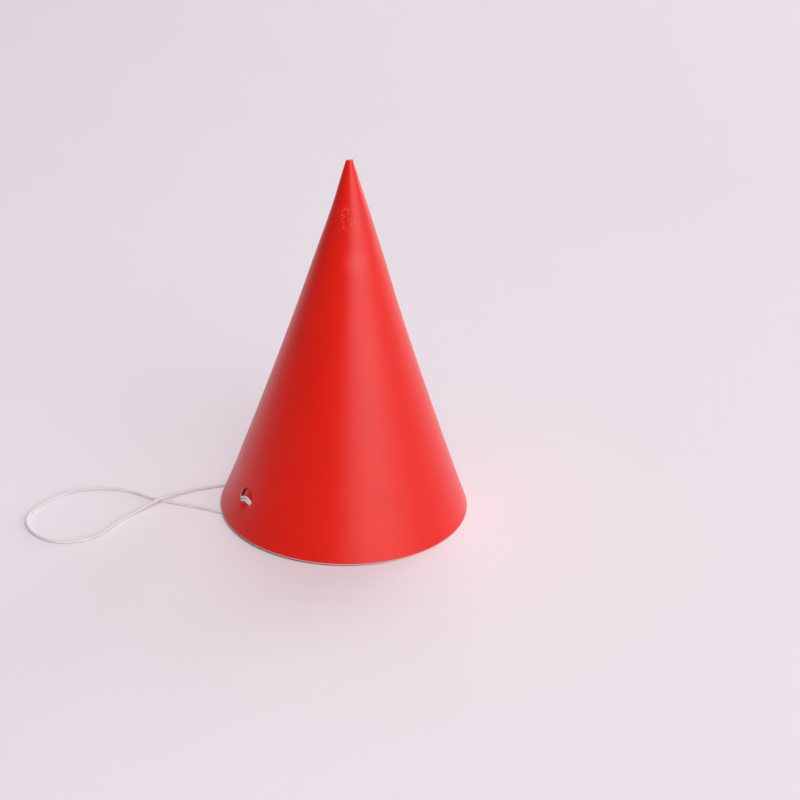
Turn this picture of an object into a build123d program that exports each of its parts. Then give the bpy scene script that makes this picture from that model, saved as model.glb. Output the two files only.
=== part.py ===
from build123d import *

import os
from math import asin, atan, cos, degrees, radians, sqrt, tan

# Party hat: one sheet of card rolled into a cone, with a round elastic held on two die-cut tabs.
# Millimetres and degrees. Z is up, the hat stands on Z = 0 and is seen from -Y.

# The cone, measured on the outside of the card
rim_diameter = 120.0
cone_height = 171.4
tip_diameter = 2.4
tip_slant = 26.0         # the tip is cut at a slant
tip_low_azimuth = 130.0  # where the slanted tip is lowest
side_bow = 1.75          # how far the side bows in from a straight line between rim and tip
card_thickness = 0.4
lap_width = 14.0         # glued lap of the seam at the rim, narrowing to the tip
seam_azimuth = 121.0     # the free edge of the outer ply, at the back

# The two tabs: a round head on a neck, cut out of the card and hinged just below the elastic
tab_azimuth = -148.7
tab_from_rim = 17.2      # along the side, from the rim to the middle of the round cut
tab_tilt = 11.0          # the tab leans back from the front of the hat
tab_diameter = 9.9       # of the round cut
tab_slit = 0.25          # open cut between the head of the tab and the card
tab_curl_radius = 12.0   # the tab is curled along its length by the pull of the elastic
tab_push_angle = 3.0     # the head is pushed in about the hinge
hinge_root = 0.8         # how far the neck runs on below the cut
hinge_sink = 0.1         # how far the curled neck sits below the face of the card

# The elastic, wound twice round the neck of each tab and loose in between
elastic_diameter = 1.4
elastic_gap = 0.1
wrap_diameter = 1.1      # stretched thinner where it is wound
wrap_middle = -0.38      # middle of the two turns over the neck, up from the middle of the cut
wrap_drop = 1.2          # how much lower the turns pass the edges of the neck
wrap_inset = 0.35        # between the turns and the edge of the cut
tail_reach = 4.6         # loose end inside, from the edge of the neck
tail_rise = 1.4
lead_in = 1.2            # straight end of the wrap before the loose run
strand_reach = 58.6      # from the hat's axis to where the elastic passes under the rim

# Route of the loose elastic, from inside the left tab out under the rim, round and back to the right tab
floor_line = elastic_diameter / 2
hump_line = floor_line + elastic_diameter + 2 * elastic_gap
route = [
    (-45.2, -26.4, 11.7),
    (-48.0, -23.2, 8.0),
    (-51.4, -18.6, 3.0),
    (-56.4, -13.4, floor_line),
    (-64.2, -9.5, floor_line),
    (-74.5, -5.4, floor_line),
    (-85.0, -1.8, floor_line),
    (-94.2, 1.8, floor_line),
    (-102.3, 7.8, floor_line),
    (-111.5, 11.4, floor_line),
    (-122.5, 12.0, floor_line),
    (-132.5, 9.4, floor_line),
    (-141.0, 2.6, floor_line),
    (-147.8, -7.0, floor_line),
    (-151.3, -17.5, floor_line),
    (-148.0, -27.7, floor_line),
    (-141.2, -35.6, floor_line),
    (-132.5, -40.4, floor_line),
    (-122.5, -38.9, floor_line),
    (-113.4, -33.4, floor_line),
    (-108.9, -24.3, floor_line),
    (-104.4, -16.9, floor_line),
    (-97.8, -9.6, floor_line),
    (-92.2, -3.9, hump_line),
    (-84.4, 2.8, hump_line),
    (-77.4, 9.2, floor_line),
    (-66.5, 13.4, floor_line),
    (-52.0, 17.2, floor_line),
    (-36.0, 21.0, floor_line),
    (-18.0, 24.9, floor_line),
    (1.0, 28.0, floor_line),
    (19.0, 29.6, floor_line),
    (31.0, 29.6, 3.2),
    (38.6, 28.4, 8.0),
    (43.4, 27.0, 12.0),
]

rim_radius = rim_diameter / 2
tip_radius = tip_diameter / 2
side_slope = atan((rim_radius - tip_radius) / cone_height)
card_across = card_thickness / cos(side_slope)   # the slanted card measured level
lap_angle = degrees(lap_width / rim_radius)

# The turns pass the edges of the neck inside the round cut, which ends just below them
wrap_clear = wrap_diameter / 2 + elastic_gap
wrap_pitch = wrap_diameter + elastic_gap
upper_edge = wrap_middle + wrap_pitch / 2 - wrap_drop
lower_edge = wrap_middle - wrap_pitch / 2 - wrap_drop
cut_end = lower_edge - wrap_clear
wrap_reach = sqrt((tab_diameter / 2 - wrap_diameter / 2 - wrap_inset) ** 2 - lower_edge ** 2)
neck_half = wrap_reach - wrap_clear

# The hat leans: its left rim lies on the two strands of elastic and its right rim on the table
lean = asin((elastic_diameter + elastic_gap) / (rim_radius + strand_reach))
seat = Location((0, 0, rim_radius * (elastic_diameter + elastic_gap) / (rim_radius + strand_reach)),
                (0, degrees(lean), 0))

# Side line of the cone in the XZ plane, from the rim to the tip
side_middle = ((rim_radius + tip_radius) / 2 - side_bow, 0, cone_height / 2)
side = ThreePointArc((rim_radius, 0, 0), side_middle, (tip_radius, 0, cone_height))


def wall_section(inner, outer):
    """Section of the wall between two level shifts of the side line."""
    inside = Pos(inner, 0, 0) * side
    outside = Pos(outer, 0, 0) * side
    rim = Line(inside @ 0, outside @ 0)
    tip = Line(outside @ 1, inside @ 1)
    return make_face([rim, outside.edge(), tip, inside.edge()])


def wall_sector(inner, outer, start, arc):
    """Part of the wall turned about Z from a start angle."""
    return Rot(0, 0, start) * revolve(wall_section(inner, outer), Axis.Z, arc)


def rolled_cone():
    """The card rolled once round, its outer end glued over its inner end."""
    # Two half turns about centres half a card apart make the roll, with its outer edge on -X
    half = card_across / 2
    inner_half = wall_sector(-card_across, 0, 0, 180)
    glued_lap = Pos(-half, 0, 0) * wall_sector(-3 * half, half, 180, lap_angle)
    outer_half = Pos(-half, 0, 0) * wall_sector(-half, half, 180 + lap_angle, 180 - lap_angle)
    return Rot(0, 0, seam_azimuth - 180) * (inner_half + glued_lap + outer_half)


def above(line):
    """Region of a tab's plane above a level line."""
    return Pos(0, line + tab_diameter) * Rectangle(2 * tab_diameter, 2 * tab_diameter)


def tip_waste():
    """What the slanted cut takes off the tip."""
    high_side = Pos(0, 0, cone_height) * Rot(0, 0, tip_low_azimuth) * Pos(-tip_radius, 0, 0)
    block = extrude(Rectangle(4 * tip_diameter, 4 * tip_diameter), 4 * tip_diameter)
    return high_side * Rot(0, tip_slant, 0) * block


def tab_plane(azimuth, ply_shift, tilt):
    """Plane on the outer face at a tab: X round the cone, Y up the tab, Z out of the card."""
    share = tab_from_rim / side.length
    up = (side % share).rotate(Axis.Z, azimuth)
    middle = ((side @ share) + Vector(ply_shift, 0, 0)).rotate(Axis.Z, azimuth)
    around = Vector(0, 1, 0).rotate(Axis.Z, azimuth)
    level = Plane(origin=middle, x_dir=around, z_dir=around.cross(up))
    return level.rotated((0, 0, tilt))


def ridge_height(up_the_tab):
    """Outer face of the curled tab along its middle line, from the face of the cone."""
    from_hinge = up_the_tab - cut_end + hinge_root
    return -hinge_sink - from_hinge * tan(radians(tab_push_angle))


def tab_plate():
    """The curled tab in its own plane, pushed in about its hinge."""
    hinge = cut_end - hinge_root
    shoulder = upper_edge + wrap_clear
    head = Circle(tab_diameter / 2 - tab_slit) & above(shoulder)
    neck_length = shoulder - hinge
    neck = Pos(0, hinge + neck_length / 2) * Rectangle(2 * neck_half, neck_length)
    outline = head + neck
    blank = extrude(outline, tab_curl_radius / 2, both=True)
    tube = Circle(tab_curl_radius) - Circle(tab_curl_radius - card_thickness)
    curl = extrude(Plane.XZ * tube, 2 * tab_diameter, both=True)
    push = Pos(0, hinge, 0) * Rot(-tab_push_angle, 0, 0) * Pos(0, -hinge, 0)
    return blank & (push * Pos(0, 0, -tab_curl_radius - hinge_sink) * curl)


def fillet_radii(points):
    """Largest even bend at each inner point of a route."""
    radii = []
    for before, here, after in zip(points, points[1:], points[2:]):
        run_in = Vector(here) - Vector(before)
        run_out = Vector(after) - Vector(here)
        half_turn = radians(run_in.get_angle(run_out) / 2)
        radii.append(0.45 * min(run_in.length, run_out.length) / tan(half_turn))
    return radii


def elastic_tube(points, diameter):
    """Round elastic along a route of straight runs and tangent bends."""
    path = FilletPolyline(*points, radius=fillet_radii(points))
    section = Plane(path @ 0, z_dir=path % 0) * Circle(diameter / 2)
    tube = sweep(section, path=path)
    print("tube length", round(path.length, 1), "volume over section", round(tube.volume / section.area, 1))
    return tube


def wrap_points(plane, hand, end, towards):
    """Route of the two turns round a tab's neck, from the loose end inside to the loose run."""
    fall = tab_curl_radius - sqrt(tab_curl_radius ** 2 - neck_half ** 2)
    ridge = ridge_height(wrap_middle)
    over = ridge + wrap_clear + elastic_gap
    outside = ridge - fall + wrap_clear
    inside = ridge - fall - card_thickness - wrap_clear
    turns = [(tail_reach - wrap_reach, upper_edge + tail_rise, inside)]
    for edge in (upper_edge, lower_edge):
        turns += [(-wrap_reach, edge, inside), (-wrap_reach, edge, outside)]
        turns += [(-neck_half / 2, edge + wrap_drop, over), (neck_half / 2, edge + wrap_drop, over)]
        turns += [(wrap_reach, edge, outside), (wrap_reach, edge, inside)]
    placed = [seat * plane.location * Pos(hand * x, y, z) for x, y, z in turns]
    straight = (Vector(end) - Vector(towards)).normalized() * lead_in
    return [place.position for place in placed] + [Vector(end) + straight, Vector(end)]


left_plane = tab_plane(tab_azimuth, card_across / 2, tab_tilt)
right_plane = tab_plane(tab_azimuth + 180, 0, -tab_tilt)

cone = rolled_cone() - tip_waste()
for plane in (left_plane, right_plane):
    hole = plane * extrude(Circle(tab_diameter / 2) & above(cut_end), tab_curl_radius / 2, both=True)
    cone = cone - hole + plane * tab_plate()
card_cone = seat * cone

elastic_loop = elastic_tube(route, elastic_diameter)
elastic_wrap_left = elastic_tube(wrap_points(left_plane, 1, route[0], route[1]), wrap_diameter)
elastic_wrap_right = elastic_tube(wrap_points(right_plane, -1, route[-1], route[-2]), wrap_diameter)

print("loop radii", [round(radius, 1) for radius in fillet_radii(route)])
print("lean in degrees", round(degrees(lean), 3))

os.makedirs("parts", exist_ok=True)
export_step(card_cone, "parts/card_cone.step")
export_step(elastic_loop, "parts/elastic_loop.step")
export_step(elastic_wrap_left, "parts/elastic_wrap_left.step")
export_step(elastic_wrap_right, "parts/elastic_wrap_right.step")
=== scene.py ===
import math

import bpy
import numpy as np
from mathutils import Matrix, Vector, geometry


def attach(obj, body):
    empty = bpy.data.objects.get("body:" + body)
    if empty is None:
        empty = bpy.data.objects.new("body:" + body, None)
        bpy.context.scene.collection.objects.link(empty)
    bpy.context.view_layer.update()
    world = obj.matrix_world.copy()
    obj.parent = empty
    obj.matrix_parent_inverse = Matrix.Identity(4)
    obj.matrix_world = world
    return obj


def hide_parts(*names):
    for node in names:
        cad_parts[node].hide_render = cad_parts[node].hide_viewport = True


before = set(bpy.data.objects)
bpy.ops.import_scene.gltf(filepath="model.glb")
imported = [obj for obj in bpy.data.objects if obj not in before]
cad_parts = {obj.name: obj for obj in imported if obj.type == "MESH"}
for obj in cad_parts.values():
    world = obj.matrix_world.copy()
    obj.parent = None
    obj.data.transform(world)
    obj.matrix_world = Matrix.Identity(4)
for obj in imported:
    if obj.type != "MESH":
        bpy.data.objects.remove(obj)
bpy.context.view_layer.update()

MM = 0.001
TO_MM = 1000

# The card, in millimetres and degrees, as in the part's source
RIM_RADIUS = 60.0
TIP_RADIUS = 1.2
HEIGHT = 171.4
SIDE_BOW = 1.75
TIP_SLANT = 26.0
TIP_LOW_AZIMUTH = 130.0
CARD = 0.4
LAP_WIDTH = 14.0
SEAM_AZIMUTH = 121.0

# How this card is worn and uneven
TIP_WEAR = 2.4               # how closely the tip's fall keeps to its low side, where 1 is a straight cut
TIP_RUN = 22.0               # length of the sheet below the tip that is drawn down to the slanted edge
RIM_WEAR = (0.09, 0.2)       # depth and height of the worn coat at the rim
LAP_LIFT = 0.07              # how far the free edge of the lap stands off
BELLY = (0.24, 132.0, 17.0)  # a swell of the side: height, distance from the rim and length
WAVES = [  # height at the rim, number round the cone, start, and millimetres up the side to a radian's shift
    (0.10, 2, 0.7, math.inf), (0.06, 3, 2.1, 60.0), (0.035, 7, 0.0, 23.0),
]
SWAY = [  # shift of the cone to the right, where it starts up the side, and over what length it comes
    (0.15, 0.0, 60.0), (0.22, 90.0, 50.0), (-0.62, 155.0, 26.0),
]
DENTS = [  # compass angle, distance from the rim, depth, width and length of a soft dent
    (-174.0, 18.0, 0.5, 14.0, 9.0),
    (-78.0, 149.0, 0.16, 6.0, 6.5), (-92.0, 133.0, 0.13, 9.0, 8.0), (-66.0, 118.0, 0.12, 10.0, 12.0),
    (-60.0, 46.0, 0.14, 7.0, 22.0), (-106.0, 86.0, 0.10, 16.0, 14.0),
]

# The tabs, drawn from the middle of the round cut
TAB_AZIMUTH = -149.2
TAB_FROM_RIM = 16.9
TAB_TILT = 11.0
CUT_RADIUS = 4.95
CUT_STRETCH = (1.07, 0.93)      # the pull of the elastic draws the cut wider than it is tall
CUT_SKEW = 0.1                  # and askew
TAB_SLIT = 0.25
CURL_RADIUS = 17.0
CURL_REACH = 6.0                # from the tab's middle to where the curl ends
CURL_RUN = 1.6                  # height above the hinge at which the tab is fully curled
PUSH_ANGLE = 5.0
HINGE = -2.85
CUT_ENDS = (-2.5, -3.15)        # where the cut stops on the left and on the right
SHOULDERS = (0.15, -0.35)       # where the neck widens into the round head, on the left and on the right
NECK_LEFT = (2.6, 1.6)          # from the tab's middle to the neck's edge, at the shoulder and at its foot
NECK_RIGHT = (2.8, 2.15)
DENT = (0.4, 4.2)               # depth and width of the dent that the elastic pulls at the hinge
DENT_LENGTHS = (5.0, 3.2)       # its length below the hinge and above it
CREASE = (0.45, 0.5, 2.4, 1.1)  # deeper under the strands: depth, middle, width and length
PULL = (0.25, 17.0, 8.0)        # the card round the tab drawn in: depth, radius, and start up from the rim

# The elastic
ELASTIC = 1.4
GAP = 0.1
WRAP = 1.14          # stretched thinner where it is wound
THICKEN_RUN = 2.2    # length over which the wound elastic grows to the loose run's thickness
LEAD_IN = 1.2        # straight end of a wound piece before the loose run
STRAND_REACH = 58.6
FLOOR_LINE = ELASTIC / 2
HUMP_LINE = FLOOR_LINE + ELASTIC + 2 * GAP

# Its route round a tab: to the right of the tab's middle, up it and out of the card
TAIL = [(0.9, 0.9, -2.4), (-1.4, 0.1, -2.4)]
UPPER_TURN = [
    (-3.7, -0.6, -2.4), (-4.0, -0.6, -0.9), (-3.5, -0.4, 0.25), (-1.5, 0.3, 0.47),
    (1.4, 0.6, 0.47), (4.0, -0.4, 0.36), (4.5, -1.4, -0.6), (4.2, -1.65, -2.4),
]
LOWER_TURN = [
    (-3.2, -1.62, -2.4), (-3.45, -1.62, -1.0), (-3.05, -1.57, 0.2), (-1.25, -1.05, 0.5),
    (1.0, -0.72, 0.5), (3.1, -1.35, 0.38), (3.8, -2.3, -0.6), (3.5, -2.35, -2.4),
]

# Its loose run from the left tab to the right one, as in the part's source
ROUTE = [
    (-45.2, -26.4, 11.7), (-48.0, -23.2, 8.0), (-51.4, -18.6, 3.0), (-56.4, -13.4, FLOOR_LINE),
    (-64.2, -9.5, FLOOR_LINE), (-74.5, -5.4, FLOOR_LINE), (-85.0, -1.8, FLOOR_LINE),
    (-94.2, 1.8, FLOOR_LINE), (-102.3, 7.8, FLOOR_LINE), (-111.5, 11.4, FLOOR_LINE),
    (-122.5, 12.0, FLOOR_LINE), (-132.5, 9.4, FLOOR_LINE), (-141.0, 2.6, FLOOR_LINE),
    (-147.8, -7.0, FLOOR_LINE), (-151.3, -17.5, FLOOR_LINE), (-148.0, -27.7, FLOOR_LINE),
    (-141.2, -35.6, FLOOR_LINE), (-132.5, -40.4, FLOOR_LINE), (-122.5, -38.9, FLOOR_LINE),
    (-113.4, -33.4, FLOOR_LINE), (-108.9, -24.3, FLOOR_LINE), (-104.4, -16.9, FLOOR_LINE),
    (-97.8, -9.6, FLOOR_LINE), (-92.2, -3.9, HUMP_LINE), (-84.4, 2.8, HUMP_LINE),
    (-77.4, 9.2, FLOOR_LINE), (-66.5, 13.4, FLOOR_LINE), (-52.0, 17.2, FLOOR_LINE),
    (-36.0, 21.0, FLOOR_LINE), (-18.0, 24.9, FLOOR_LINE), (1.0, 28.0, FLOOR_LINE),
    (19.0, 29.6, FLOOR_LINE), (31.0, 29.6, 3.2), (38.6, 28.4, 8.0), (43.4, 27.0, 12.0),
]

# Its braid
BRAID_WAVES = 2             # waves of the braid's ridges round the elastic, each way
BRAID_TWIST = 2.9           # radians that the ridges turn in a millimetre
BRAID_SIZE = (0.97, 0.045)  # radius between the ridges and their height, as shares of the elastic's radius
YARN_TWIST = 9.0            # radians that the fine yarn pattern turns in a millimetre
YARN_TURN = 50.27           # radians of the yarn pattern once round the elastic, eight waves

# How finely things are meshed
COLUMNS = 181                    # round the sheet
RIM_ROWS = [0, 0.1, 0.22, 0.4, 0.8, 2, 4]
LOW_ROWS = (7, 44, 3.2)          # first row, end and step of the even rows past the tabs
HIGH_STEP = 3.4
TIP_ROWS = 9
FINE_STEP = 0.44                 # points on the tabs and close round them
FINE_BOX = (-8.8, 6.6)           # lowest and highest of them, and as far to the sides as up
FINE_REACH = 6.4                 # how far round a tab's middle line they go
GRID_REACH = 7.2                 # and where the sheet's own rows begin
CUT_CLEAR = 0.2                  # between them and the cut
MIDDLE_LINE = 2.0                # length of a tab's middle line, down from the middle of the cut
WELD = 1e-5
AROUND = 16                      # points round the elastic
WRAP_STEPS = 14                  # points on the wound elastic to each point of its route
LOOSE_STEPS = 36
SHEET_UV = 200                   # millimetres of the sheet to one unit of its UV map
BRAID_UV = 10

# The camera fitted to the photograph, in metres, radians and millimetres of sensor
CAMERA_PLACE = (0, -0.63937, 0.35752)
CAMERA_PITCH, CAMERA_YAW, CAMERA_ROLL = 0.4417, 0.0408, 0.0204
CAMERA_LENS = 67.28
SENSOR_WIDTH = 36

# The room, in metres, degrees and watts
FLOOR_CORNERS = [(-5, -4, 0), (5, -4, 0), (5, 7, 0), (-5, 7, 0)]
LIGHT_COLOUR = (1, 0.96, 0.99)
WORLD_STRENGTH = 0.07
SIDE_LAMPS = 15
SIDE_FROM = -85
SIDE_STEP = 10

# Values that follow from these
SIDE_SLOPE = math.atan((RIM_RADIUS - TIP_RADIUS) / HEIGHT)
HALF_PLY = CARD / math.cos(SIDE_SLOPE) / 2
LAP_ANGLE = LAP_WIDTH / RIM_RADIUS
TURN = 2 * math.pi + LAP_ANGLE          # how far round the card is rolled
LEAN = math.asin((ELASTIC + GAP) / (RIM_RADIUS + STRAND_REACH))
TILT = math.radians(TAB_TILT)
TABS = [  # place on the sheet, and 1 or -1 for the tab that mirrors it
    (LAP_ANGLE + math.radians(SEAM_AZIMUTH - TAB_AZIMUTH), 1),
    (LAP_ANGLE + math.radians(SEAM_AZIMUTH - TAB_AZIMUTH - 180), -1),
]


def smooth(value):
    """Eases from 0 to 1."""
    value = np.clip(value, 0, 1)
    return value * value * (3 - 2 * value)


def side_arc():
    """Centre, radius and end angles of the side line, an arc bowed in between rim and tip."""
    rim = np.array([RIM_RADIUS, 0.0])
    tip = np.array([TIP_RADIUS, HEIGHT])
    middle = np.array([(RIM_RADIUS + TIP_RADIUS) / 2 - SIDE_BOW, HEIGHT / 2])
    rows = 2 * np.array([middle - rim, tip - rim])
    centre = np.linalg.solve(rows, [middle @ middle - rim @ rim, tip @ tip - rim @ rim])
    start = math.atan2(*(rim - centre)[::-1]) % (2 * math.pi)
    end = math.atan2(*(tip - centre)[::-1]) % (2 * math.pi)
    return centre, np.hypot(*(rim - centre)), start, end


ARC_CENTRE, ARC_RADIUS, ARC_START, ARC_END = side_arc()
SIDE_LENGTH = ARC_RADIUS * abs(ARC_END - ARC_START)
SLANT_FROM = SIDE_LENGTH - TIP_RUN


def side_point(along):
    """Radius and height on the side line at a distance from the rim."""
    angle = ARC_START + (ARC_END - ARC_START) * along / SIDE_LENGTH
    return ARC_CENTRE[0] + ARC_RADIUS * np.cos(angle), ARC_CENTRE[1] + ARC_RADIUS * np.sin(angle)


TAB_RADIUS = float(side_point(TAB_FROM_RIM)[0])
SHEET_WIDTH = TURN * TAB_RADIUS         # the flat sheet, measured at the height of the tabs


def azimuth_of(turned):
    """Compass angle on the hat of a place on the rolled sheet."""
    return LAP_ANGLE + math.radians(SEAM_AZIMUTH) - turned


def tip_edge(turned):
    """Distance from the rim to the slanted edge of the tip, which is worn round at its low side."""
    facing = np.cos(azimuth_of(turned) - math.radians(TIP_LOW_AZIMUTH))
    fall = 2 * TIP_RADIUS * math.tan(math.radians(TIP_SLANT))
    return SIDE_LENGTH - fall * ((1 + facing) / 2) ** TIP_WEAR / math.cos(SIDE_SLOPE)


def along_side(turned, up):
    """Distance from the rim, with the sheet's top rows drawn down to the slanted tip."""
    share = np.clip((up - SLANT_FROM) / (SIDE_LENGTH - SLANT_FROM), 0, 1)
    return up + share * (tip_edge(turned) - SIDE_LENGTH)


def seat(points):
    """Leans the hat on its elastic and gives metres."""
    x, y, z = points[..., 0], points[..., 1], points[..., 2]
    leant = np.stack([x * math.cos(LEAN) + z * math.sin(LEAN), y,
                      z * math.cos(LEAN) - x * math.sin(LEAN) + RIM_RADIUS * math.sin(LEAN)], -1)
    return leant * MM


def out_of_round(turned, along):
    """Small unevenness of hand-rolled card."""
    low = 1 - along / SIDE_LENGTH
    wave = sum(height * np.sin(number * turned + start + along / shift)
               for height, number, start, shift in WAVES)
    lift = np.clip((turned - 2 * math.pi) / LAP_ANGLE, 0, 1) ** 2 * LAP_LIFT
    swell, middle, length = BELLY
    belly = swell * np.exp(-((along - middle) / length) ** 2)
    return wave * low + belly + lift


def handled(turned, along, radius):
    """Soft dents that handling and the pull of the elastic have left in the card."""
    dent = np.zeros_like(turned)
    for azimuth, middle, depth, width, length in DENTS:
        aside = (azimuth_of(turned) - math.radians(azimuth) + math.pi) % (2 * math.pi) - math.pi
        dent = dent + depth * np.exp(-(aside * radius / width) ** 2 - ((along - middle) / length) ** 2)
    return dent


def sway(along):
    """How far the cone stands to the right, with its tip bent back to the left."""
    return sum(shift * smooth((along - start) / length) for shift, start, length in SWAY)


def to_tab(across, up, tab):
    """Place on the flat sheet as seen from a tab: towards the front of the hat, and up it."""
    turned, hand = TABS[tab]
    x = hand * (turned * TAB_RADIUS - across)
    y = up - TAB_FROM_RIM
    return x * math.cos(TILT) + y * math.sin(TILT), y * math.cos(TILT) - x * math.sin(TILT)


def from_tab(x, y, tab):
    """Place on the flat sheet of a point in a tab's own plane."""
    turned, hand = TABS[tab]
    right = x * math.cos(TILT) - y * math.sin(TILT)
    up = x * math.sin(TILT) + y * math.cos(TILT)
    return turned * TAB_RADIUS - hand * right, TAB_FROM_RIM + up


def tab_sink(x, y, on_tab):
    """How far the card is drawn in at a tab: a dent at the hinge, and the curled, pushed-in tab."""
    above = y - HINGE
    depth, width = DENT
    dent = depth * np.exp(-(x / width) ** 2 - (above / np.where(above < 0, *DENT_LENGTHS)) ** 2)
    depth, middle, width, length = CREASE
    dent = dent + depth * np.exp(-((x - middle) / width) ** 2 - (above / length) ** 2)
    depth, radius, start = PULL
    dent = dent + depth * np.exp(-(x ** 2 + y ** 2) / radius ** 2) * smooth((y + TAB_FROM_RIM) / start)
    rise = np.maximum(above, 0)
    curl = CURL_RADIUS - np.sqrt(CURL_RADIUS ** 2 - np.clip(np.abs(x), 0, CURL_REACH) ** 2)
    tab = rise * math.tan(math.radians(PUSH_ANGLE)) + curl * smooth(rise / CURL_RUN)
    return dent + np.where(on_tab, tab, 0)


def sheet_point(across, up, depth, on_tab):
    """Place in the world, in metres, of a point of the sheet. Depth 0 is its coated face, 1 its back."""
    turned = across / TAB_RADIUS
    along = along_side(turned, up)
    radius, height = side_point(along)
    inner_ply = turned < LAP_ANGLE
    first_half = (turned >= LAP_ANGLE) & (turned <= LAP_ANGLE + math.pi)
    ply = np.where(inner_ply, -1, np.where(first_half, 0, 1)) * HALF_PLY
    centre = np.where(first_half, 0, -HALF_PLY)
    sink = sum(tab_sink(*to_tab(across, up, tab), on_tab) for tab in range(len(TABS)))
    worn = RIM_WEAR[0] * np.exp(-(up / RIM_WEAR[1]) ** 2) * (1 - depth)
    uneven = out_of_round(turned, along) - handled(turned, along, radius) - worn
    out = radius + ply - 2 * HALF_PLY * depth + uneven - sink * math.cos(SIDE_SLOPE)
    height = height - sink * math.sin(SIDE_SLOPE)
    local = math.pi + LAP_ANGLE - turned
    x = centre + out * np.cos(local)
    y = out * np.sin(local)
    spin = math.radians(SEAM_AZIMUTH) - math.pi
    return seat(np.stack([x * math.cos(spin) - y * math.sin(spin) + sway(along),
                          x * math.sin(spin) + y * math.cos(spin), height], -1))


def sheet_normal(across, up, depth, on_tab):
    """Outward direction of the coated face."""
    step = 0.04
    right = sheet_point(across + step, up, depth, on_tab) - sheet_point(across - step, up, depth, on_tab)
    rise = sheet_point(across, up + step, depth, on_tab) - sheet_point(across, up - step, depth, on_tab)
    normal = np.cross(rise, right)
    return normal / np.linalg.norm(normal, axis=-1, keepdims=True)


def arc_points(radius, low_left, low_right, step):
    """Points over the top of a circle, from its left side at one height to its right at another."""
    start = math.pi - math.asin(low_left / radius)
    end = math.asin(low_right / radius)
    count = max(8, int(radius * (start - end) / step))
    return [(radius * math.cos(a), radius * math.sin(a)) for a in np.linspace(start, end, count)]


def straight(start, end, step):
    """Points on a straight cut, without its end."""
    count = max(1, int(math.dist(start, end) / step))
    return [tuple(np.array(start) + (np.array(end) - np.array(start)) * k / count) for k in range(count)]


def slit_outline():
    """The open cut round a tab as one closed outline, and which of its points are on the tab."""
    step = 0.3
    outer = arc_points(CUT_RADIUS, *CUT_ENDS, step)
    head = arc_points(CUT_RADIUS - TAB_SLIT, *SHOULDERS, step)[::-1]
    neck_right, foot_right = (NECK_RIGHT[0], SHOULDERS[1]), (NECK_RIGHT[1], CUT_ENDS[1])
    neck_left, foot_left = (-NECK_LEFT[0], SHOULDERS[0]), (-NECK_LEFT[1], CUT_ENDS[0])
    runs = [(outer[:-1], False), (straight(outer[-1], foot_right, step), False),
            (straight(foot_right, neck_right, step), True), (straight(neck_right, head[0], step), True),
            (head[:-1], True), (straight(head[-1], neck_left, step), True),
            (straight(neck_left, foot_left, step), True), (straight(foot_left, outer[0], step), False)]
    points = [p for run, _ in runs for p in run]
    drawn = np.array(points) @ np.array([[CUT_STRETCH[0], 0], [-CUT_SKEW, CUT_STRETCH[1]]])
    return drawn, np.array([on for run, on in runs for _ in run])


def inside(points, outline):
    """Which points lie in a closed outline."""
    x, y = points[:, 0:1], points[:, 1:2]
    ax, ay = outline[:, 0], outline[:, 1]
    bx, by = np.roll(ax, -1), np.roll(ay, -1)
    spans = (ay > y) != (by > y)
    cross = ax + (y - ay) * (bx - ax) / np.where(by == ay, 1e-9, by - ay)
    return (spans & (x < cross)).sum(1) % 2 == 1


def sheet_grid():
    """Points all over the flat sheet, closer at the rim and at the tip."""
    columns = np.linspace(0, SHEET_WIDTH, COLUMNS)
    rows = np.concatenate([RIM_ROWS, np.arange(*LOW_ROWS), np.arange(LOW_ROWS[1], SLANT_FROM, HIGH_STEP),
                           np.linspace(SLANT_FROM, SIDE_LENGTH, TIP_ROWS)])
    return np.array([(a, u) for a in columns for u in rows])


def from_middle_line(x, y):
    """Distance from a tab's middle line."""
    return np.hypot(x, np.minimum(y + MIDDLE_LINE, 0) + np.maximum(y, 0))


def tab_points(slit):
    """Fine points on a tab and round it, clear of its cut."""
    low, high = FINE_BOX
    end = high + FINE_STEP / 2
    rows = np.arange(low, end, FINE_STEP)
    fine = np.array([(x, y) for x in np.arange(-high, end, FINE_STEP) for y in rows])
    fine = fine[from_middle_line(fine[:, 0], fine[:, 1]) < FINE_REACH]
    gaps = np.min(np.hypot(*(fine[:, None] - slit[None]).transpose(2, 0, 1)), 1)
    return fine[(gaps > CUT_CLEAR) & ~inside(fine, slit)]


def cut_pattern():
    """The flat sheet with its two cuts, as points, triangles and the points on tabs."""
    grid = sheet_grid()
    slit, slit_on_tab = slit_outline()
    fine = tab_points(slit)
    fine_on_tab = inside(fine, slit[slit_on_tab])
    near = np.zeros(len(grid), bool)
    points, flags, edges = [], [], []
    for tab in range(len(TABS)):
        near |= from_middle_line(*to_tab(grid[:, 0], grid[:, 1], tab)) < GRID_REACH
        first = len(points)
        edges += [(first + k, first + (k + 1) % len(slit)) for k in range(len(slit))]
        points += [from_tab(x, y, tab) for x, y in (*slit, *fine)]
        flags += [*slit_on_tab, *fine_on_tab]
    kept = grid[~near]
    points += [tuple(p) for p in kept]
    flags += [False] * len(kept)
    found = geometry.delaunay_2d_cdt([Vector(p) for p in points], edges, [], 0, WELD)
    flat = np.array([tuple(p) for p in found[0]])
    on_tab = np.array([any(flags[k] for k in origin) for origin in found[3]])
    triangles = np.array([face for face in found[2] if len(face) == 3])
    for tab in range(len(TABS)):
        middle = flat[triangles].mean(1)
        place = np.stack(to_tab(middle[:, 0], middle[:, 1], tab), -1)
        triangles = triangles[~inside(place, slit)]
    return flat, triangles, on_tab


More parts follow.
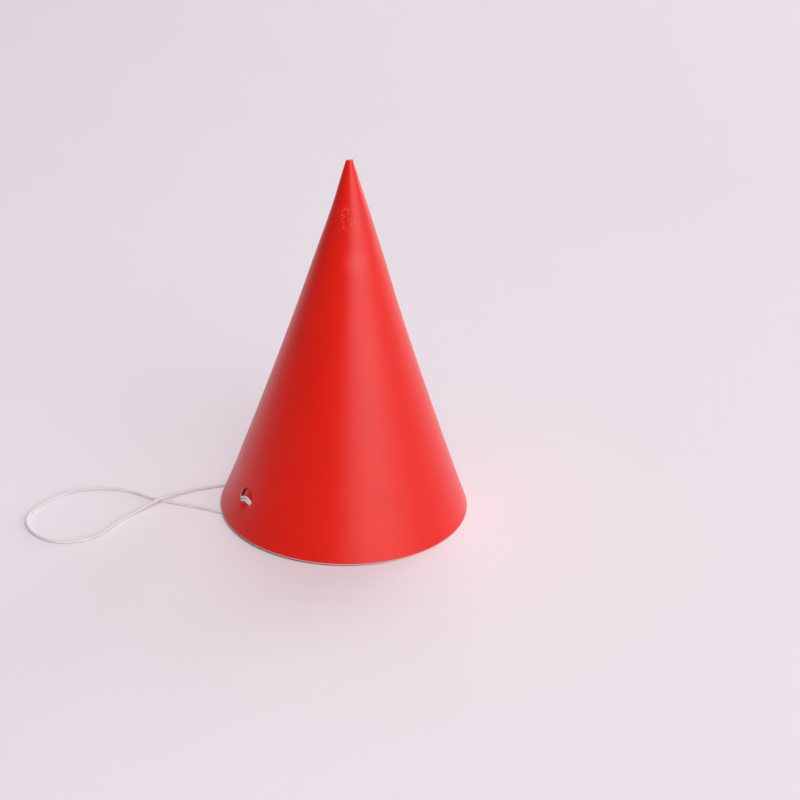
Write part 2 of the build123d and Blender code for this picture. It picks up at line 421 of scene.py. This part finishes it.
def facing_out(triangles, face, normals):
    """The triangles, all turned to face the way of the normals."""
    a, b, c = (face[triangles[:, k]] for k in range(3))
    wrong = (np.cross(b - a, c - a) * normals[triangles[:, 0]]).sum(1) < 0
    triangles[wrong] = triangles[wrong][:, ::-1]
    return triangles


def open_edges(triangles):
    """Edges of a sheet with a triangle on one side only, in that triangle's direction."""
    sides = np.concatenate([triangles[:, [0, 1]], triangles[:, [1, 2]], triangles[:, [2, 0]]])
    names = {(int(a), int(b)) for a, b in sides}
    return np.array([(a, b) for a, b in names if (b, a) not in names])


def edge_normals(face, normals, rims):
    """Outward directions of the card's cut edges."""
    inward = np.cross(normals[rims[:, 0]], face[rims[:, 1]] - face[rims[:, 0]])
    return -inward / np.linalg.norm(inward, axis=1, keepdims=True)


def add_card(materials):
    """The cone: the flat sheet rolled up, with its back, its cut edges and its two tabs."""
    flat, triangles, on_tab = cut_pattern()
    count = len(flat)
    face, back = (sheet_point(flat[:, 0], flat[:, 1], depth, on_tab) for depth in (0.0, 1.0))
    normals = sheet_normal(flat[:, 0], flat[:, 1], 0.0, on_tab)
    triangles = facing_out(triangles, face, normals)
    rims = open_edges(triangles)
    faces = [tuple(t) for t in triangles] + [tuple(t[::-1] + count) for t in triangles]
    faces += [(b, a, a + count, b + count) for a, b in rims]
    mesh = bpy.data.meshes.new("card")
    mesh.from_pydata(np.concatenate([face, back]).tolist(), [], [[int(k) for k in f] for f in faces])
    for material in materials:
        mesh.materials.append(material)
    kind = np.repeat([0, 1, 2], [len(triangles), len(triangles), len(rims)])
    mesh.polygons.foreach_set("material_index", kind.astype(np.int32))
    mesh.polygons.foreach_set("use_smooth", np.ones(len(faces), bool))
    corners = np.zeros(len(mesh.loops), np.int32)
    mesh.loops.foreach_get("vertex_index", corners)
    places = np.concatenate([flat, flat])[corners] / SHEET_UV
    mesh.uv_layers.new(name="sheet").data.foreach_set("uv", places.astype(np.float32).ravel())
    split = np.concatenate([normals, -normals])[corners]
    split[6 * len(triangles):] = np.repeat(edge_normals(face, normals, rims), 4, axis=0)
    mesh.normals_split_custom_set(split.tolist())
    card = bpy.data.objects.new("card", mesh)
    bpy.context.scene.collection.objects.link(card)
    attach(card, "root")
    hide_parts("card_cone")


def spline_line(name, points, resolution):
    """Points on a smooth line that has the route's points as its control points."""
    curve = bpy.data.curves.new(name, "CURVE")
    curve.dimensions = "3D"
    spline = curve.splines.new("NURBS")
    spline.points.add(len(points) - 1)
    for point, place in zip(spline.points, points):
        point.co = (*place, 1)
    spline.order_u = 3
    spline.use_endpoint_u = True
    spline.resolution_u = resolution
    holder = bpy.data.objects.new(name, curve)
    mesh = bpy.data.meshes.new_from_object(holder)
    line = np.array([tuple(v.co) for v in mesh.vertices])
    bpy.data.objects.remove(holder)
    bpy.data.meshes.remove(mesh)
    return line


def turning_frames(line):
    """Two directions square to a line that don't twist along it."""
    ahead = np.gradient(line, axis=0)
    ahead /= np.linalg.norm(ahead, axis=1, keepdims=True)
    side = np.cross(ahead[0], (0, 0, 1.0))
    sides = []
    for direction in ahead:
        side = side - direction * (side @ direction)
        side = side / np.linalg.norm(side)
        sides.append(side)
    sides = np.array(sides)
    return sides, np.cross(ahead, sides)


def tube_faces(rings):
    """Faces of a tube of rings, closed at each end by a fan round one of the two last points."""
    faces = []
    for k in range(rings - 1):
        for j in range(AROUND):
            n = (j + 1) % AROUND
            faces.append((k * AROUND + j, k * AROUND + n, (k + 1) * AROUND + n, (k + 1) * AROUND + j))
    last = rings * AROUND
    for j in range(AROUND):
        n = (j + 1) % AROUND
        faces.append((n, j, last))
        faces.append((last - AROUND + j, last - AROUND + n, last + 1))
    return faces


def add_braid_uv(mesh, run):
    """Maps a tube by the distance along it and by the share of the way round it."""
    layer = mesh.uv_layers.new(name="braid")
    side_faces = (len(run) - 1) * AROUND
    for polygon in mesh.polygons:
        closes = polygon.index < side_faces and polygon.index % AROUND == AROUND - 1
        for corner in polygon.loop_indices:
            ring, j = divmod(mesh.loops[corner].vertex_index, AROUND)
            share = 1.0 if closes and j == 0 else j / AROUND
            layer.data[corner].uv = (run[min(ring, len(run) - 1)] / BRAID_UV, share)


def braided_tube(name, line, radii, material):
    """Round braided elastic along a line, with the crossing ridges of its braid. Millimetres."""
    sides, ups = turning_frames(line)
    run = np.concatenate([[0], np.cumsum(np.linalg.norm(np.diff(line, axis=0), axis=1))])
    turn = np.arange(AROUND) * 2 * math.pi / AROUND
    twist = BRAID_TWIST * run[:, None]
    left, right = (np.abs(np.cos(BRAID_WAVES * turn[None] + way * twist)) for way in (1, -1))
    base, ridge = BRAID_SIZE
    size = radii[:, None] * (base + ridge * np.maximum(left, right))
    rings = (line[:, None] + size[..., None] * (np.cos(turn)[None, :, None] * sides[:, None]
                                                + np.sin(turn)[None, :, None] * ups[:, None]))
    places = np.concatenate([rings.reshape(-1, 3), line[:1], line[-1:]]) * MM
    faces = tube_faces(len(line))
    mesh = bpy.data.meshes.new(name)
    mesh.from_pydata(places.tolist(), [], faces)
    mesh.polygons.foreach_set("use_smooth", np.ones(len(faces), bool))
    add_braid_uv(mesh, run)
    mesh.materials.append(material)
    piece = bpy.data.objects.new(name, mesh)
    bpy.context.scene.collection.objects.link(piece)
    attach(piece, "root")
    return piece


def tab_frame(tab):
    """Middle of a tab in the world, in millimetres, and the directions to its right, up it and out."""
    step = 0.5
    places = np.array([from_tab(x, y, tab) for x, y in ((0.0, 0.0), (step, 0.0), (0.0, step))])
    origin, right, up = sheet_point(places[:, 0], places[:, 1], 0.0, np.zeros(len(places), bool))
    right, up = right - origin, up - origin
    right /= np.linalg.norm(right)
    hand = TABS[tab][1]
    out = np.cross(right, up) * hand
    out /= np.linalg.norm(out)
    return origin / MM, right, np.cross(out, right) * hand, out


def wrap_route(tab, end, towards):
    """The two turns of elastic round a tab's neck, from its loose end inside to the loose run."""
    origin, right, up, out = tab_frame(tab)
    points = [origin + x * right + y * up + z * out for x, y, z in TAIL + UPPER_TURN + LOWER_TURN]
    ahead = np.array(end) - np.array(towards)
    ahead = ahead / np.linalg.norm(ahead)
    return points + [np.array(end) + LEAD_IN * ahead, np.array(end)]


def add_elastic(material):
    """The loose run of the elastic and its turns round the two tabs."""
    ends = [("wrap_left", 0, ROUTE[0], ROUTE[1]), ("wrap_right", 1, ROUTE[-1], ROUTE[-2])]
    for name, tab, end, towards in ends:
        line = spline_line(name, wrap_route(tab, end, towards), WRAP_STEPS)
        to_end = np.linalg.norm(line - np.array(end), axis=1)
        radii = WRAP / 2 + (ELASTIC - WRAP) / 2 * smooth(1 - to_end / THICKEN_RUN)
        piece = braided_tube(name, line, radii, material)
        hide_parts("elastic_" + name)
    line = spline_line("loose_run", ROUTE, LOOSE_STEPS)
    elastic = braided_tube("elastic", line, np.full(len(line), ELASTIC / 2), material)
    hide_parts("elastic_loop")


class Shader:
    """Short way to write a material's nodes."""

    def __init__(self, name):
        self.material = bpy.data.materials.new(name)
        self.material.use_nodes = True
        self.tree = self.material.node_tree
        self.surface = self.tree.nodes["Principled BSDF"]

    def node(self, kind, inputs=None, **settings):
        made = self.tree.nodes.new(kind)
        for key, value in settings.items():
            setattr(made, key, value)
        for key, value in (inputs or {}).items():
            self.put(made.inputs[key], value)
        return made

    def put(self, socket, value):
        if isinstance(value, bpy.types.NodeSocket):
            self.tree.links.new(value, socket)
        else:
            socket.default_value = value

    def look(self, **inputs):
        """Sets inputs of the surface, with the words of their names joined by underscores."""
        for key, value in inputs.items():
            self.put(self.surface.inputs[key.replace("_", " ")], value)

    def mapped(self, place, scale, shift=(0, 0, 0)):
        made = self.node("ShaderNodeMapping", {"Vector": place, "Scale": scale, "Location": shift})
        return made.outputs["Vector"]

    def uv(self, layer, scale):
        return self.mapped(self.node("ShaderNodeUVMap", uv_map=layer).outputs["UV"], scale)

    def local(self, scale, shift=(0, 0, 0)):
        return self.mapped(self.node("ShaderNodeTexCoord").outputs["Object"], scale, shift)

    def patch(self, centre, size):
        """1 in the middle of a soft oval in millimetres and 0 from its edge on."""
        place = self.local([TO_MM / s for s in size], [-c / s for c, s in zip(centre, size)])
        made = self.node("ShaderNodeTexGradient", {"Vector": place}, gradient_type="SPHERICAL")
        return made.outputs["Fac"]

    def noise(self, place, scale, detail=2.0, rough=0.5):
        return self.node("ShaderNodeTexNoise", {"Vector": place, "Scale": scale, "Detail": detail,
                                                "Roughness": rough}).outputs["Fac"]

    def span(self, value, low, high, out_low, out_high):
        return self.node("ShaderNodeMapRange", {"Value": value, "From Min": low, "From Max": high,
                                                "To Min": out_low, "To Max": out_high}).outputs["Result"]

    def math(self, kind, a, b):
        made = self.node("ShaderNodeMath", operation=kind)
        self.put(made.inputs[0], a)
        self.put(made.inputs[1], b)
        return made.outputs[0]

    def mix(self, share, a, b):
        made = self.node("ShaderNodeMix", data_type="RGBA")
        self.put(made.inputs["Factor"], share)
        self.put(made.inputs[6], a)
        self.put(made.inputs[7], b)
        return made.outputs[2]

    def bump(self, height, distance, strength, under=None):
        made = self.node("ShaderNodeBump", {"Height": height, "Distance": distance, "Strength": strength})
        if under is not None:
            self.put(made.inputs["Normal"], under)
        return made.outputs["Normal"]


def worn_edges(s, colour, tooth):
    """The coat's colour, rubbed off raggedly along the rim and the edge of the tip."""
    bare = (0.80, 0.52, 0.50, 1)
    up = s.node("ShaderNodeSeparateXYZ", {"Vector": s.uv("sheet", (SHEET_UV,) * 3)}).outputs["Y"]
    ragged = s.math("ADD", up, s.span(tooth, 0.3, 0.7, -0.08, 0.08))
    colour = s.mix(s.span(ragged, 0.5, 0.3, 0, 0.8), colour, bare)
    worn_tip = s.span(ragged, SIDE_LENGTH - 0.5, SIDE_LENGTH - 0.1, 0, 0.6)
    return s.mix(worn_tip, colour, bare)


def rubbed_and_glint_specks(s, place):
    """Uneven groups of small dots near the tip, from 0 to 1: rubbed coat whose pale colour also paints
    glints of the highlight broken into grains.
    """
    dots = s.node("ShaderNodeTexVoronoi", {"Vector": place, "Scale": 1.15}).outputs["Distance"]
    groups = s.span(s.noise(place, 0.3, 3, 0.6), 0.40, 0.62, 0, 1)
    area = s.span(s.patch((0.6, -9.0, 147.5), (7.0, 9, 11.0)), 0.1, 0.9, 0, 1)
    return s.math("MULTIPLY", s.math("MULTIPLY", s.span(dots, 0.40, 0.2, 0, 1), groups), area)


def painted_highlight_smear(s):
    """A faint streaky painted highlight, a dull sheen smeared below the specks, from 0 to 1."""
    streaks = s.noise(s.local((700, 700, 160)), 1.0, 3, 0.6)
    return s.math("MULTIPLY", streaks, s.patch((4.5, -13, 128.5), (7, 9, 7)))


def red_coat():
    """Satin coat printed red, with a little paper tooth under it, rubbed specks near the tip whose pale
    colour is partly painted highlight, and a painted highlight smear below them.
    """
    s = Shader("red_coat")
    place = s.local((TO_MM,) * 3)
    tone = s.span(s.noise(place, 0.05, 2), 0.3, 0.7, 0, 1)
    tooth = s.noise(place, 1.6, 4, 0.6)
    rubbed_and_glints = rubbed_and_glint_specks(s, place)
    colour = s.mix(tone, (0.75, 0.0125, 0.0045, 1), (0.79, 0.0145, 0.0055, 1))
    colour = s.mix(s.span(tooth, 0.35, 0.7, 0, 0.12), colour, (0.66, 0.007, 0.0025, 1))
    colour = worn_edges(s, colour, tooth)
    # Pale specks: partly real rubbed coat, partly painted glints where the highlight breaks into grains.
    colour = s.mix(s.math("MULTIPLY", rubbed_and_glints, 0.45), colour, (0.90, 0.46, 0.48, 1))
    # Painted highlight: a faint pale streak of sheen mixed into the colour below the specks.
    colour = s.mix(s.math("MULTIPLY", painted_highlight_smear(s), 0.16), colour, (0.86, 0.40, 0.42, 1))
    wave = s.bump(s.noise(place, 0.06, 1), 0.0006, 0.25)
    rub = s.bump(rubbed_and_glints, 0.00003, 0.3, wave)
    s.look(Base_Color=colour, Roughness=s.span(tooth, 0.3, 0.7, 0.29, 0.34), Specular_IOR_Level=0.36,
           Normal=s.bump(tooth, 0.00002, 0.15, rub))
    return s.material


def board_back():
    """Uncoated pale board on the inside."""
    s = Shader("board_back")
    place = s.uv("sheet", (SHEET_UV,) * 3)
    fibre = s.noise(place, 2.2, 5, 0.65)
    cloud = s.noise(place, 0.12, 2)
    colour = s.mix(s.span(fibre, 0.35, 0.7, 0, 1), (0.74, 0.71, 0.67, 1), (0.66, 0.63, 0.59, 1))
    colour = s.mix(s.span(cloud, 0.3, 0.7, 0, 0.3), colour, (0.70, 0.68, 0.66, 1))
    s.look(Base_Color=colour, Roughness=0.85, Specular_IOR_Level=0.25, Normal=s.bump(fibre, 0.00004, 0.5))
    return s.material


def cut_edge():
    """Pale core of the card where it is cut."""
    s = Shader("cut_edge")
    fibre = s.noise(s.uv("sheet", (SHEET_UV,) * 3), 5.0, 3, 0.6)
    colour = s.mix(s.span(fibre, 0.35, 0.7, 0, 1), (0.80, 0.62, 0.60, 1), (0.70, 0.42, 0.40, 1))
    s.look(Base_Color=colour, Roughness=0.8, Specular_IOR_Level=0.25, Normal=s.bump(fibre, 0.00003, 0.4))
    return s.material


def white_braid():
    """Braided white yarn of the elastic, with painted shade in the grooves between its yarn lines."""
    s = Shader("white_braid")
    parts = s.node("ShaderNodeSeparateXYZ", {"Vector": s.uv("braid", (BRAID_UV, 1, 1))})
    along = s.math("MULTIPLY", parts.outputs["X"], YARN_TWIST)
    lines = []
    for way in (1, -1):
        turned = s.math("ADD", along, s.math("MULTIPLY", parts.outputs["Y"], way * YARN_TURN))
        lines.append(s.math("ABSOLUTE", s.math("SINE", turned, 0.0), 0.0))
    yarn = s.math("MAXIMUM", *lines)
    # Painted shade: greyer in the grooves between the yarn lines, paler on their ridges.
    colour = s.mix(s.span(yarn, 0.6, 1.0, 0, 1), (0.66, 0.61, 0.61, 1), (0.86, 0.83, 0.83, 1))
    s.look(Base_Color=colour, Roughness=0.72, Specular_IOR_Level=0.3, Sheen_Weight=0.15,
           Normal=s.bump(yarn, 0.00005, 0.6))
    return s.material


def floor_paper():
    """Plain pale paper."""
    s = Shader("floor_paper")
    cloud = s.noise(s.node("ShaderNodeTexCoord").outputs["Object"], 3.0, 2)
    colour = s.mix(s.span(cloud, 0.3, 0.7, 0, 1), (0.93, 0.878, 0.914, 1), (0.94, 0.888, 0.924, 1))
    s.look(Base_Color=colour, Roughness=0.75, Specular_IOR_Level=0.2)
    return s.material


def add_camera():
    """Camera at the photograph's viewing angle."""
    data = bpy.data.cameras.new("camera")
    data.sensor_width = SENSOR_WIDTH
    data.lens = CAMERA_LENS
    data.clip_start = 0.01
    camera = bpy.data.objects.new("camera", data)
    turn = (Matrix.Rotation(-CAMERA_YAW, 4, "Z") @ Matrix.Rotation(math.pi / 2 - CAMERA_PITCH, 4, "X")
            @ Matrix.Rotation(CAMERA_ROLL, 4, "Z"))
    camera.matrix_world = Matrix.Translation(CAMERA_PLACE) @ turn
    bpy.context.scene.collection.objects.link(camera)
    bpy.context.scene.camera = camera


def add_floor():
    """Plain floor that runs out of the picture."""
    mesh = bpy.data.meshes.new("floor")
    mesh.from_pydata(FLOOR_CORNERS, [], [(0, 1, 2, 3)])
    floor = bpy.data.objects.new("floor", mesh)
    bpy.context.scene.collection.objects.link(floor)
    mesh.materials.append(floor_paper())


def soft_box(name, azimuth, elevation, distance, width, height, power, aim=(0, 0, 0)):
    """Soft light aimed at the hat, or at a place on the floor."""
    data = bpy.data.lights.new(name, "AREA")
    data.shape = "RECTANGLE"
    data.size = width
    data.size_y = height
    data.energy = power
    data.color = LIGHT_COLOUR
    lamp = bpy.data.objects.new(name, data)
    a, e = math.radians(azimuth), math.radians(elevation)
    away = Vector((math.cos(a) * math.cos(e), math.sin(a) * math.cos(e), math.sin(e))) * distance
    turn = (-away).to_track_quat("-Z", "Y").to_matrix().to_4x4()
    lamp.matrix_world = Matrix.Translation(Vector(aim) + away) @ turn
    bpy.context.scene.collection.objects.link(lamp)


def add_world():
    """Faint light from all round."""
    world = bpy.data.worlds.new("world")
    world.use_nodes = True
    background = world.node_tree.nodes["Background"]
    background.inputs["Color"].default_value = (*LIGHT_COLOUR, 1)
    background.inputs["Strength"].default_value = WORLD_STRENGTH
    bpy.context.scene.world = world


def side_power(azimuth):
    """Watts of a low lamp: a soft rise at the front right, and more and more towards the back right."""
    base, front_most, back_most = 8, 25, 62
    front_middle, front_width = -55, 29
    back_start, back_width = 5, 50
    front = front_most * math.exp(-((azimuth - front_middle) / front_width) ** 2)
    back = back_most * (max(azimuth - back_start, 0) / back_width) ** 1.8
    return base + front + back


def add_light():
    """Soft boxes: high ones in front and behind, and a low row from the front round to the back right."""
    add_world()
    soft_box("front", -85, 62, distance=3.2, width=2.0, height=1.8, power=46)
    soft_box("front_left", -125, 62, distance=3.0, width=1.8, height=1.6, power=7)
    soft_box("far", 90, 65, distance=2.4, width=2.0, height=1.6, power=25, aim=(0.2, 1.1, 0))
    for k in range(SIDE_LAMPS):
        azimuth = SIDE_FROM + SIDE_STEP * k
        elevation = 18 - 0.6 * k
        soft_box(f"side_{k}", azimuth, elevation, distance=6.4, width=2.2, height=2.2,
                 power=side_power(azimuth))


add_camera()
add_elastic(white_braid())
add_card([red_coat(), board_back(), cut_edge()])
add_floor()
add_light()

bpy.context.scene.view_settings.view_transform = "Standard"
